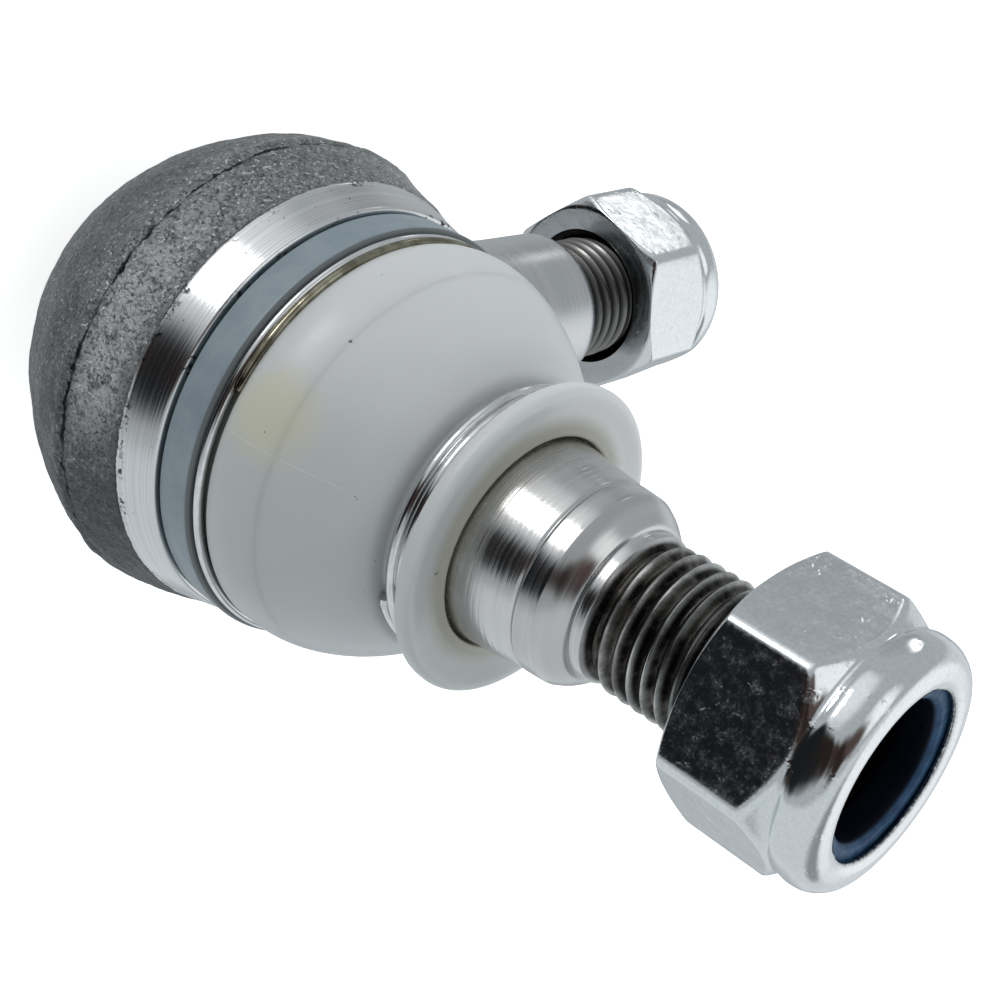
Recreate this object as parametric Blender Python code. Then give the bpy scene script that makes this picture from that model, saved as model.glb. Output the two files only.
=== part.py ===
"""Rod end ball joint with a threaded shank, a threaded ball stud, a boot and two lock nuts.

Frame: metres, +Z up along the ball stud, +X along the shank. The origin is the centre of the
housing's flat bottom face, on the stud axis. Every piece is one closed solid with its own name.
Heights are drawn from the pole of the housing's dome, which the flat cuts off at FLAT_Z, and the
finished pieces are lowered by FLAT_Z.
"""
import math

import bmesh
import bpy
from mathutils import Matrix, Vector

MM = 0.001
GAP = 0.0003                      # clearance left between neighbouring solids

# Driving dimensions, in metres.
THREAD_MAJOR_R = 7.0 * MM         # M14 x 1.5, on the stud and on the shank
THREAD_MINOR_R = 6.08 * MM
THREAD_PITCH = 1.5 * MM
BALL_R = 15.0 * MM
BALL_Z = 25.9 * MM                # ball centre, shank axis and forging's parting plane
FLAT_Z = 2.9 * MM                 # flat bottom face of the forging
HOUSING_R = 24.3 * MM
CAVITY_R = 17.3 * MM
BAND_Z = 32.1 * MM                # where the machined band starts
BAND_R = 22.5 * MM
MOUTH_Z = 36.3 * MM               # crimped mouth of the housing
MOUTH_R = 21.3 * MM
RING_TOP_Z = 40.0 * MM            # top of the closing ring
RING_R = 21.1 * MM
BOOT_FOOT_Z = 40.3 * MM
BOOT_NECK_Z = 56.4 * MM
LIP_Z = 60.3 * MM
LIP_TOP_Z = 62.4 * MM
LIP_R = 15.1 * MM
NECK_R = 7.0 * MM                 # waist of the stud, under the boot
TAPER_FOOT_Z = 56.4 * MM
TAPER_TOP_Z = 68.7 * MM
TAPER_FOOT_R = 10.75 * MM
TAPER_TOP_R = 9.35 * MM
SHOULDER_Z = 71.2 * MM
STUD_THREAD_Z = 74.0 * MM
STUD_END_Z = 93.8 * MM
NUT_Z = 86.7 * MM                 # bearing face of the stud nut, part way on the thread
STUD_NUT_FLATS = 22.0 * MM        # widths across flats
SHANK_NUT_FLATS = 21.0 * MM
NUT_HEX_HEIGHT = 9.9 * MM
NUT_HEIGHT = 14.4 * MM
NUT_BORE_R = THREAD_MAJOR_R + GAP
INSERT_BORE_R = 6.4 * MM
STUD_NUT_TURN = -22.0             # degrees, how far each nut happens to be turned
SHANK_NUT_TURN = -12.0
SHANK_THREAD_X = 41.9 * MM
SHANK_END_X = 55.2 * MM
SHANK_NUT_X = 47.8 * MM           # bearing face of the shank nut
FOOT_WIRE_R = 0.45 * MM           # open ring round the boot's foot
NECK_WIRE_R = 0.45 * MM           # clamp of two turns round the boot's neck

BODY_SEGMENTS = 40
STUD_SEGMENTS = 24
NUT_SEGMENTS = 30
WIRE_SEGMENTS = 32
MERGE = 1e-6


def clear_scene():
    for obj in list(bpy.data.objects):
        bpy.data.objects.remove(obj, do_unlink=True)


def material(name, color, roughness, metallic):
    mat = bpy.data.materials.new(name)
    mat.use_nodes = True
    shader = mat.node_tree.nodes["Principled BSDF"]
    shader.inputs["Base Color"].default_value = (*color, 1.0)
    shader.inputs["Roughness"].default_value = roughness
    shader.inputs["Metallic"].default_value = metallic
    return mat


def new_object(name, bm, mat, sharp_degrees=35):
    bmesh.ops.remove_doubles(bm, verts=bm.verts, dist=MERGE)
    bmesh.ops.recalc_face_normals(bm, faces=bm.faces)
    mesh = bpy.data.meshes.new(name)
    bm.to_mesh(mesh)
    bm.free()
    mesh.shade_smooth()
    mesh.set_sharp_from_angle(angle=math.radians(sharp_degrees))
    obj = bpy.data.objects.new(name, mesh)
    obj.data.materials.append(mat)
    bpy.context.collection.objects.link(obj)
    return obj


def arc(centre_r, centre_z, radius, start_deg, end_deg, steps):
    """Profile points (r, z) on an arc; 0 degrees points outwards, 90 degrees up."""
    points = []
    for i in range(steps + 1):
        a = math.radians(start_deg + (end_deg - start_deg) * i / steps)
        points.append((centre_r + radius * math.cos(a), centre_z + radius * math.sin(a)))
    return points


def ring(bm, r, z, segments):
    if r < MERGE:
        return [bm.verts.new((0, 0, z))]
    angles = [2 * math.pi * j / segments for j in range(segments)]
    return [bm.verts.new((r * math.cos(a), r * math.sin(a), z)) for a in angles]


def bridge(bm, lower, upper):
    n = max(len(lower), len(upper))
    for j in range(n):
        k = (j + 1) % n
        a, b = len(lower), len(upper)
        corners = []
        for vert in (lower[j % a], lower[k % a], upper[k % b], upper[j % b]):
            if vert not in corners:
                corners.append(vert)
        if len(corners) > 2:
            bm.faces.new(corners)


def turned(bm, profile, segments, closed=False):
    """Lathe a profile of (r, z) points about Z. A closed profile makes a ring."""
    rings = [ring(bm, r, z, segments) for r, z in profile]
    for lower, upper in zip(rings, rings[1:]):
        bridge(bm, lower, upper)
    if closed:
        bridge(bm, rings[-1], rings[0])
    return rings


def helical_thread(bm, z0, z1, segments, run_in, run_out):
    """Thread surface from z0 to z1, as a strip wound between root and crest helices.

    Its first and last rows are flat rings with the radii run_in and run_out.
    """
    rows = int(2 * (z1 - z0) / THREAD_PITCH) + 7
    fade = 0.8 * THREAD_PITCH
    grid = []
    for k in range(rows):
        row = []
        for j in range(segments):
            z = z0 + (k / 2 + j / segments - 1.5) * THREAD_PITCH
            radius = THREAD_MAJOR_R if k % 2 else THREAD_MINOR_R
            if z < z0 + fade:
                radius = run_in + (radius - run_in) * max(0.0, (z - z0) / fade)
            if z > z1 - fade:
                radius = run_out + (radius - run_out) * max(0.0, (z1 - z) / fade)
            z = min(max(z, z0), z1)
            angle = 2 * math.pi * j / segments
            row.append(bm.verts.new((radius * math.cos(angle), radius * math.sin(angle), z)))
        grid.append(row)
    for k in range(rows - 1):
        for j in range(segments - 1):
            bm.faces.new((grid[k][j], grid[k][j + 1], grid[k + 1][j + 1], grid[k + 1][j]))
        if k + 3 < rows:
            bm.faces.new((grid[k][-1], grid[k + 2][0], grid[k + 3][0], grid[k + 1][-1]))
    bmesh.ops.remove_doubles(bm, verts=[v for row in grid for v in row], dist=MERGE)


def threaded_bar(bm, lower_profile, z0, z1, upper_profile, segments):
    """A turned bar whose profile is threaded between z0 and z1."""
    turned(bm, lower_profile + [(THREAD_MINOR_R, z0)], segments)
    helical_thread(bm, z0, z1, segments, THREAD_MINOR_R, THREAD_MINOR_R)
    turned(bm, [(THREAD_MINOR_R, z1)] + upper_profile, segments)
    bmesh.ops.remove_doubles(bm, verts=bm.verts, dist=MERGE)


def boolean(target, cutter, operation):
    modifier = target.modifiers.new(operation.title(), "BOOLEAN")
    modifier.object = cutter
    modifier.operation = operation
    modifier.solver = "EXACT"
    cutter.hide_render = True
    cutter.display_type = "WIRE"


def dome_profile():
    """Forged back of the housing, below its parting plane: a superellipse cut off by the flat."""
    depth = 26.2 * MM             # the curve's own depth, to its pole
    power = 1.616
    points = []
    steps = 12
    for i in range(steps + 1):
        h = (BALL_Z - FLAT_Z) * (1 - i / steps) ** 1.5
        points.append((HOUSING_R * (1 - (h / depth) ** power) ** (1 / power), BALL_Z - h))
    return points


def make_housing(mat):
    """Forging with a blind ball cavity, open at the boot side, and a threaded shank."""
    bm = bmesh.new()
    outer = [(0, FLAT_Z)] + dome_profile()
    outer += [(BAND_R + 0.1 * MM, BAND_Z), (BAND_R, BAND_Z + 0.15 * MM)]
    outer += [(BAND_R - 0.15 * MM, MOUTH_Z - 1.9 * MM), (MOUTH_R + 0.6 * MM, MOUTH_Z - 0.6 * MM)]
    outer += [(MOUTH_R, MOUTH_Z), (0, MOUTH_Z)]
    turned(bm, outer, BODY_SEGMENTS)
    housing = new_object("housing_forging", bm, mat)

    bm = bmesh.new()
    root = [(0, 18.0 * MM), (10.2 * MM, 18.0 * MM), (10.1 * MM, 22.0 * MM), (9.6 * MM, 26.0 * MM)]
    root += [(9.0 * MM, 31.0 * MM), (8.6 * MM, 40.4 * MM), (8.1 * MM, 41.0 * MM), (7.0 * MM, 41.2 * MM)]
    tip = [(THREAD_MINOR_R - 0.5 * MM, SHANK_END_X), (0, SHANK_END_X)]
    threaded_bar(bm, root, SHANK_THREAD_X, SHANK_END_X - 0.5 * MM, tip, STUD_SEGMENTS)
    shank = new_object("shank_tool", bm, mat)
    shank.matrix_world = Matrix.Translation((0, 0, BALL_Z)) @ Matrix.Rotation(math.pi / 2, 4, "Y")

    bm = bmesh.new()
    floor_z = 7.6 * MM
    cavity = [(0, floor_z), (8.5 * MM, floor_z), (15.6 * MM, 13.2 * MM), (CAVITY_R, 15.2 * MM)]
    cavity += [(CAVITY_R, 33.8 * MM), (20.0 * MM, 33.8 * MM), (20.0 * MM, MOUTH_Z + 1.0 * MM)]
    cavity += [(0, MOUTH_Z + 1.0 * MM)]
    turned(bm, cavity, BODY_SEGMENTS)
    pocket = new_object("cavity_tool", bm, mat)

    boolean(housing, shank, "UNION")
    boolean(housing, pocket, "DIFFERENCE")
    return housing


def make_closing_ring(mat):
    """Ring crimped into the mouth: it holds the upper seat down and carries the boot's foot."""
    bm = bmesh.new()
    flange_r = 20.0 * MM - GAP
    profile = [(13.1 * MM, 33.8 * MM + GAP), (flange_r, 33.8 * MM + GAP), (flange_r, MOUTH_Z + GAP)]
    profile += [(RING_R, MOUTH_Z + GAP), (RING_R + 0.1 * MM, RING_TOP_Z - 0.3 * MM)]
    profile += [(RING_R - 0.2 * MM, RING_TOP_Z)]
    profile += [(19.0 * MM, RING_TOP_Z), (17.9 * MM, RING_TOP_Z - 0.4 * MM)]
    profile += [(17.7 * MM, 42.0 * MM), (17.0 * MM, 42.4 * MM), (16.0 * MM, 41.8 * MM)]
    turned(bm, profile, BODY_SEGMENTS, closed=True)
    return new_object("closing_ring", bm, mat)


def seat_bowl(z0, z1, steps):
    """Points on the seat's spherical face between two heights, listed bottom to top."""
    radius = BALL_R + GAP
    points = []
    for i in range(steps + 1):
        z = z0 + (z1 - z0) * i / steps
        points.append((math.sqrt(max(radius ** 2 - (z - BALL_Z) ** 2, 0.0)), z))
    return points


def make_lower_seat(mat):
    bm = bmesh.new()
    outer_r = CAVITY_R - GAP
    profile = [(6.0 * MM, 10.4 * MM), (11.4 * MM, 10.4 * MM), (15.2 * MM, 13.4 * MM)]
    profile += [(outer_r, 15.5 * MM), (outer_r, 25.3 * MM)]
    profile += list(reversed(seat_bowl(12.0 * MM, 25.3 * MM, 7)))
    turned(bm, profile, STUD_SEGMENTS, closed=True)
    return new_object("lower_ball_seat", bm, mat)


def make_upper_seat(mat):
    bm = bmesh.new()
    outer_r = CAVITY_R - GAP
    profile = [(outer_r, 25.7 * MM), (outer_r, 33.8 * MM)]
    profile += list(reversed(seat_bowl(25.7 * MM, 33.8 * MM, 6)))
    turned(bm, profile, STUD_SEGMENTS, closed=True)
    return new_object("upper_ball_seat", bm, mat)


def make_preload_spring(mat):
    """Coned disc spring under the lower seat."""
    bm = bmesh.new()
    profile = [(4.2 * MM, 9.3 * MM), (7.9 * MM, 7.9 * MM), (7.9 * MM, 8.7 * MM), (4.2 * MM, 10.1 * MM)]
    turned(bm, profile, STUD_SEGMENTS, closed=True)
    return new_object("preload_disc_spring", bm, mat)


def make_ball_stud(mat):
    bm = bmesh.new()
    flat_z = 12.6 * MM            # small flat under the ball, which keeps grease
    start = math.degrees(math.asin((flat_z - BALL_Z) / BALL_R))
    end = math.degrees(math.acos(NECK_R / BALL_R))
    lower = [(0, flat_z)] + arc(0, BALL_Z, BALL_R, start, end, 15)
    lower += [(NECK_R, 45.9 * MM), (7.6 * MM, 48.9 * MM), (9.4 * MM, 52.9 * MM), (10.5 * MM, 55.4 * MM)]
    lower += [(TAPER_FOOT_R, TAPER_FOOT_Z), (TAPER_TOP_R, TAPER_TOP_Z)]
    lower += [(TAPER_TOP_R - 0.12 * MM, TAPER_TOP_Z + 0.2 * MM), (TAPER_TOP_R, TAPER_TOP_Z + 0.4 * MM)]
    lower += [(9.25 * MM, SHOULDER_Z), (8.95 * MM, SHOULDER_Z + 0.6 * MM)]
    lower += [(8.5 * MM, SHOULDER_Z + 1.2 * MM), (7.9 * MM, SHOULDER_Z + 1.7 * MM)]
    lower += [(7.2 * MM, SHOULDER_Z + 2.1 * MM), (6.8 * MM, SHOULDER_Z + 2.4 * MM)]
    tip = [(THREAD_MINOR_R - 0.7 * MM, STUD_END_Z), (0, STUD_END_Z)]
    threaded_bar(bm, lower, STUD_THREAD_Z, STUD_END_Z - 0.7 * MM, tip, STUD_SEGMENTS)
    return new_object("ball_stud", bm, mat)


def boot_outline(offset):
    """Dome of the boot from its foot to its neck, moved inwards by offset."""
    shape = [
        (19.3 * MM, 41.4 * MM), (20.1 * MM, 41.7 * MM), (20.6 * MM, 42.8 * MM),
        (20.8 * MM, 44.6 * MM), (20.4 * MM, 47.0 * MM), (19.4 * MM, 49.6 * MM),
        (17.9 * MM, 52.2 * MM), (16.0 * MM, 54.6 * MM), (13.9 * MM, BOOT_NECK_Z),
    ]
    centre = Vector((8.0 * MM, 44.4 * MM))
    points = []
    for r, z in shape:
        inward = (centre - Vector((r, z))).normalized() * offset
        points.append((r + inward.x, z + inward.y))
    return points


def make_dust_boot(mat):
    """Moulded boot: foot bead in the closing ring's groove, dome, neck for the clamp, and lip."""
    bm = bmesh.new()
    wall = 1.4 * MM
    inner_r = TAPER_FOOT_R + GAP
    outside = [(18.1 * MM, BOOT_FOOT_Z), (19.3 * MM, BOOT_FOOT_Z)] + boot_outline(0.0)
    outside += [(12.2 * MM, BOOT_NECK_Z + 0.15 * MM), (12.2 * MM, LIP_Z)]
    outside += [(14.3 * MM, LIP_Z + 0.1 * MM), (LIP_R, LIP_Z + 0.6 * MM), (LIP_R, LIP_TOP_Z - 0.4 * MM)]
    outside += [(LIP_R - 0.5 * MM, LIP_TOP_Z), (12.4 * MM, LIP_TOP_Z - 0.4 * MM)]
    outside += [(inner_r - 0.05 * MM, LIP_TOP_Z - 0.9 * MM), (inner_r, TAPER_FOOT_Z)]
    inside = [(inner_r + 0.6 * MM, TAPER_FOOT_Z - 1.0 * MM)] + list(reversed(boot_outline(wall)))[1:-2]
    inside += [(18.1 * MM, 42.0 * MM)]
    turned(bm, outside + inside, BODY_SEGMENTS, closed=True)
    return new_object("dust_boot", bm, mat)


def make_wire_clamp(name, coil_r, wire_r, z0, turns, pitch, mat):
    """Spring wire wound round the boot."""
    bm = bmesh.new()
    sides = 6
    steps = int(WIRE_SEGMENTS * turns)
    rings = []
    for i in range(steps + 1):
        a = 2 * math.pi * turns * i / steps + math.radians(200)
        z = z0 + pitch * turns * i / steps
        out = Vector((math.cos(a), math.sin(a), 0))
        verts = []
        for j in range(sides):
            b = 2 * math.pi * j / sides
            lift = Vector((0, 0, z + wire_r * math.sin(b)))
            verts.append(bm.verts.new(out * (coil_r + wire_r * math.cos(b)) + lift))
        rings.append(verts)
    for first, second in zip(rings, rings[1:]):
        bridge(bm, first, second)
    bm.faces.new(rings[0])
    bm.faces.new(rings[-1])
    return new_object(name, bm, mat)


def make_nut(name, flats, mat):
    """Prevailing torque nut, bearing face at z = 0: hexagon, rolled collar, bore with insert groove."""
    corner_r = flats / math.sqrt(3)
    collar_r = flats / 2 + 0.1 * MM
    hexagon = bmesh.new()
    for z in (0, NUT_HEX_HEIGHT + 2.0 * MM):
        for j in range(6):
            a = math.pi / 3 * j + math.pi / 6
            hexagon.verts.new((corner_r * math.cos(a), corner_r * math.sin(a), z))
    hexagon.verts.ensure_lookup_table()
    low, high = hexagon.verts[:6], hexagon.verts[6:]
    hexagon.faces.new(reversed(low))
    hexagon.faces.new(high)
    for j in range(6):
        k = (j + 1) % 6
        hexagon.faces.new((low[j], low[k], high[k], high[j]))
    nut = new_object(name, hexagon, mat)

    tall = NUT_HEX_HEIGHT
    envelope = [(0, 0), (flats / 2 - 0.5 * MM, 0), (corner_r + 0.2 * MM, 1.35 * MM)]
    envelope += [(corner_r + 0.2 * MM, tall - 1.6 * MM), (collar_r, tall)]
    envelope += [(collar_r - 0.15 * MM, tall + 1.4 * MM)]
    envelope += arc(collar_r - 2.3 * MM, NUT_HEIGHT - 2.1 * MM, 2.1 * MM, 15, 90, 5)
    envelope += [(0, NUT_HEIGHT)]
    bm = bmesh.new()
    turned(bm, envelope, NUT_SEGMENTS)
    blank = new_object(name + "_envelope_tool", bm, mat)

    bm = bmesh.new()
    groove_r = 8.7 * MM + GAP
    groove_z = NUT_HEX_HEIGHT + 0.4 * MM
    bore = [(0, -1.0 * MM), (NUT_BORE_R + 1.5 * MM, -1.0 * MM), (NUT_BORE_R, 0.5 * MM)]
    bore += [(NUT_BORE_R, groove_z), (groove_r, groove_z)]
    bore += [(groove_r, NUT_HEIGHT - 0.7 * MM), (7.9 * MM, NUT_HEIGHT - 0.4 * MM)]
    bore += [(8.2 * MM, NUT_HEIGHT + 1.0 * MM), (0, NUT_HEIGHT + 1.0 * MM)]
    turned(bm, bore, NUT_SEGMENTS)
    drill = new_object(name + "_bore_tool", bm, mat)

    bm = bmesh.new()
    low_z = tall - 2.0 * MM
    collar = [(0, low_z), (collar_r, low_z), (collar_r, NUT_HEIGHT), (0, NUT_HEIGHT)]
    turned(bm, collar, NUT_SEGMENTS)
    neck = new_object(name + "_collar_tool", bm, mat)
    boolean(nut, neck, "UNION")
    boolean(nut, blank, "INTERSECT")
    boolean(nut, drill, "DIFFERENCE")
    return nut, (neck, blank, drill)


def make_insert(name, mat):
    """Nylon ring that sits in the nut's groove and grips the thread."""
    bm = bmesh.new()
    bottom = NUT_HEX_HEIGHT + 0.4 * MM + GAP
    top = NUT_HEIGHT - 0.7 * MM - GAP
    profile = [(INSERT_BORE_R, bottom), (8.7 * MM, bottom), (8.7 * MM, top - 0.3 * MM)]
    profile += [(7.7 * MM, top), (INSERT_BORE_R + 0.4 * MM, top), (INSERT_BORE_R, top - 0.4 * MM)]
    turned(bm, profile, NUT_SEGMENTS, closed=True)
    return new_object(name, bm, mat)


def place_nut(prefix, flats, matrix, turn_deg, nut_mat, insert_mat):
    nut, tools = make_nut(prefix, flats, nut_mat)
    insert = make_insert(prefix + "_insert", insert_mat)
    for obj in (nut, insert, *tools):
        obj.matrix_world = matrix @ Matrix.Rotation(math.radians(turn_deg), 4, "Z")


def main():
    clear_scene()
    forged = material("forged_steel", (0.09, 0.10, 0.105), 0.55, 0.9)
    phosphated = material("phosphated_ring", (0.16, 0.20, 0.22), 0.5, 0.3)
    polymer = material("seat_polymer", (0.75, 0.74, 0.68), 0.4, 0.0)
    spring = material("spring_steel", (0.20, 0.20, 0.21), 0.35, 1.0)
    steel = material("machined_steel", (0.50, 0.50, 0.50), 0.25, 1.0)
    rubber = material("boot_elastomer", (0.50, 0.53, 0.52), 0.4, 0.0)
    wire = material("clamp_wire", (0.62, 0.64, 0.66), 0.15, 1.0)
    plated = material("nut_plating", (0.60, 0.63, 0.66), 0.15, 1.0)
    nylon = material("nylon_insert", (0.02, 0.07, 0.15), 0.35, 0.0)

    make_housing(forged)
    make_closing_ring(phosphated)
    make_lower_seat(polymer)
    make_upper_seat(polymer)
    make_preload_spring(spring)
    make_ball_stud(steel)
    make_dust_boot(rubber)
    make_wire_clamp("boot_foot_clamp", 20.1 * MM, FOOT_WIRE_R, 40.7 * MM, 0.98, 0.0, wire)
    make_wire_clamp("boot_neck_clamp", 12.95 * MM, NECK_WIRE_R, 57.28 * MM, 1.97, 1.0 * MM, wire)
    along_stud = Matrix.Translation((0, 0, NUT_Z))
    place_nut("stud_nut", STUD_NUT_FLATS, along_stud, STUD_NUT_TURN, plated, nylon)
    along_shank = Matrix.Translation((SHANK_NUT_X, 0, BALL_Z)) @ Matrix.Rotation(math.pi / 2, 4, "Y")
    place_nut("shank_nut", SHANK_NUT_FLATS, along_shank, SHANK_NUT_TURN, plated, nylon)

    for obj in bpy.data.objects:
        obj.matrix_world = Matrix.Translation((0, 0, -FLAT_Z)) @ obj.matrix_world


main()
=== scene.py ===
"""Finished looks of the rod end ball joint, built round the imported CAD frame.

Lengths in the shape tables are millimetres. Pieces on the stud axis are drawn in the CAD's own
heights, measured from the pole of the housing's dome, and lowered by FLAT_Z into the row frame.
Pieces on the shank are drawn with their own Z along the shank.
"""
import math

import bmesh
import bpy
from mathutils import Matrix, Vector, noise


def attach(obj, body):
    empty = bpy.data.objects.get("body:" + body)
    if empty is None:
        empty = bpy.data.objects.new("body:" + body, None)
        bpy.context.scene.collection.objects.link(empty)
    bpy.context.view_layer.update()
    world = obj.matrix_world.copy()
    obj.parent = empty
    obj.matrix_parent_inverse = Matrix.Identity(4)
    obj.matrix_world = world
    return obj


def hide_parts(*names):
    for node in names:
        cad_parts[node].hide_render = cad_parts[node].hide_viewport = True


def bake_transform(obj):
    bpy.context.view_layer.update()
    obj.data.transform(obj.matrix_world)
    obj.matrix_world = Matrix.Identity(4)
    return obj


MM = 0.001
TAU = 2 * math.pi
FLAT_Z = 2.9                      # height of the housing's flat bottom face as drawn
BALL_Z = 25.9                     # ball centre, and the height of the shank's axis
BALL_R = 15.0
HOUSING_R = 24.3                  # at the parting plane, which passes through the ball centre
BAND_START_Z = 32.0               # where the turned band round the housing's mouth begins
PITCH = 1.5                       # both threads are M14 x 1.5
CREST_R = 7.0
ROOT_R = 6.08
SHANK_THREAD = (41.9, 54.7)       # start and end, measured from the ball centre
STUD_THREAD = (75.1, 93.1)        # start and end heights
STUD_NUT_Z = 86.7                 # bearing face
SHANK_NUT_X = 47.8                # bearing face
STUD_NUT_FLATS = 22.0
SHANK_NUT_FLATS = 21.0
STUD_NUT_TURN = -22.0             # degrees about the stud
SHANK_NUT_TURN = -12.0            # degrees about the shank

STUD_AXIS = Matrix.Translation((0, 0, -FLAT_Z * MM))
SHANK_AXIS = (Matrix.Translation((0, 0, (BALL_Z - FLAT_Z) * MM))
              @ Matrix.Rotation(math.pi / 2, 4, "Y"))

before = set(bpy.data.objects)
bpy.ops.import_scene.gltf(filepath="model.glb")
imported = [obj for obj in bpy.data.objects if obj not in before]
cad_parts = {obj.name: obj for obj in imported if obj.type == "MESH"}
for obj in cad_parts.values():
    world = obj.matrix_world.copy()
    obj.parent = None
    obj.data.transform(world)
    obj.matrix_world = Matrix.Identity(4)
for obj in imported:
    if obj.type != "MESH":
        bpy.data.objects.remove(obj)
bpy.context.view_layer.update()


# ---------------------------------------------------------------- profiles

def smoothstep(low, high, x):
    t = min(max((x - low) / (high - low), 0.0), 1.0)
    return t * t * (3 - 2 * t)


def rounded(corners, steps=5):
    """Polyline through (r, z, radius) corners, each one rounded off by its radius."""
    out = []
    for i, (r, z, radius) in enumerate(corners):
        here = Vector((r, z))
        if radius == 0 or i == 0 or i == len(corners) - 1:
            out.append((r, z))
            continue
        back = Vector(corners[i - 1][:2]) - here
        ahead = Vector(corners[i + 1][:2]) - here
        cut = min(radius, 0.49 * back.length, 0.49 * ahead.length)
        start, end = here + back.normalized() * cut, here + ahead.normalized() * cut
        for k in range(steps + 1):
            t = k / steps
            p = start * (1 - t) ** 2 + here * 2 * t * (1 - t) + end * t * t
            out.append((p.x, p.y))
    return out


def flowing(points, steps=6):
    """Smooth curve through the points."""
    out = []
    for i in range(len(points) - 1):
        p1, p2 = Vector(points[i]), Vector(points[i + 1])
        p0 = Vector(points[i - 1]) if i else p1 * 2 - p2
        p3 = Vector(points[i + 2]) if i + 2 < len(points) else p2 * 2 - p1
        for k in range(steps):
            t = k / steps
            p = (p1 * 2 + (p2 - p0) * t + (p0 * 2 - p1 * 5 + p2 * 4 - p3) * t ** 2
                 + (p1 * 3 - p0 - p2 * 3 + p3) * t ** 3) / 2
            out.append((p.x, p.y))
    out.append(tuple(points[-1]))
    return out


def resampled(points, longest):
    """The same polyline with no segment longer than the given length."""
    out = [points[0]]
    for a, b in zip(points, points[1:]):
        count = max(1, math.ceil(math.dist(a, b) / longest))
        for k in range(1, count + 1):
            out.append((a[0] + (b[0] - a[0]) * k / count, a[1] + (b[1] - a[1]) * k / count))
    return out


# ---------------------------------------------------------------- meshes

def round_point(bm, r, a, z):
    return bm.verts.new((r * math.cos(a) * MM, r * math.sin(a) * MM, z * MM))


def ring(bm, r, z, segments, shape):
    """One loop of a turned surface; a radius of zero gives a single point on the axis."""
    if r < 1e-6:
        return [bm.verts.new((0, 0, z * MM))]
    verts = []
    for j in range(segments):
        a = TAU * j / segments
        radius, height = shape(r, a, z) if shape else (r, z)
        verts.append(round_point(bm, radius, a, height))
    return verts


def bridge(bm, lower, upper):
    """Faces between two loops, either of which may be a single point."""
    a, b = len(lower), len(upper)
    for j in range(max(a, b)):
        k = j + 1
        corners = []
        for vert in (lower[j % a], lower[k % a], upper[k % b], upper[j % b]):
            if vert not in corners:
                corners.append(vert)
        if len(corners) > 2:
            bm.faces.new(corners)


def turned(bm, profile, segments, closed=False, shape=None):
    """Surface of revolution; shape(r, angle, z) may move each point to a new (r, z)."""
    rings = [ring(bm, r, z, segments, shape) for r, z in profile]
    for lower, upper in zip(rings, rings[1:]):
        bridge(bm, lower, upper)
    if closed:
        bridge(bm, rings[-1], rings[0])


def thread(bm, z0, z1, segments):
    """Helical V thread with narrow crests; both ends run out on the root radius."""
    per_pitch = 12
    run_out = 0.8 * PITCH
    rows = int(per_pitch * ((z1 - z0) / PITCH + 3)) + 1
    grid = []
    for k in range(rows):
        phase = abs((k % per_pitch) / per_pitch * 2 - 1)
        depth = min(max((phase - 0.12) / 0.80, 0.0), 1.0)
        row = []
        for j in range(segments):
            z = z0 + (k / per_pitch + j / segments - 1.5) * PITCH
            radius = ROOT_R + (CREST_R - ROOT_R) * depth
            ends = min(1.0, max(0.0, (z - z0) / run_out), max(0.0, (z1 - z) / run_out))
            radius = ROOT_R + (radius - ROOT_R) * ends
            row.append(round_point(bm, radius, TAU * j / segments, min(max(z, z0), z1)))
        grid.append(row)
    for k in range(rows - 1):
        for j in range(segments - 1):
            bm.faces.new((grid[k][j], grid[k][j + 1], grid[k + 1][j + 1], grid[k + 1][j]))
        if k + per_pitch + 1 < rows:
            next_turn, after = grid[k + per_pitch][0], grid[k + per_pitch + 1][0]
            bm.faces.new((grid[k][-1], next_turn, after, grid[k + 1][-1]))


def smooth_mesh(name, bm, material):
    mesh = bpy.data.meshes.new(name)
    bm.to_mesh(mesh)
    bm.free()
    mesh.shade_smooth()
    mesh.materials.append(material)
    return mesh


def placed(name, data, place):
    obj = bpy.data.objects.new(name, data)
    bpy.context.collection.objects.link(obj)
    obj.matrix_world = place
    return obj


def piece(name, bm, place, body, material, replaced=(), sharp=40):
    """Mesh object on a CAD body, standing for the CAD nodes it replaces."""
    bmesh.ops.remove_doubles(bm, verts=bm.verts, dist=1e-7)
    bmesh.ops.recalc_face_normals(bm, faces=bm.faces)
    mesh = smooth_mesh(name, bm, material)
    mesh.set_sharp_from_angle(angle=math.radians(sharp))
    obj = placed(name, mesh, place)
    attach(obj, body)
    if replaced:
        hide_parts(*replaced)


# ---------------------------------------------------------------- materials

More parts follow.
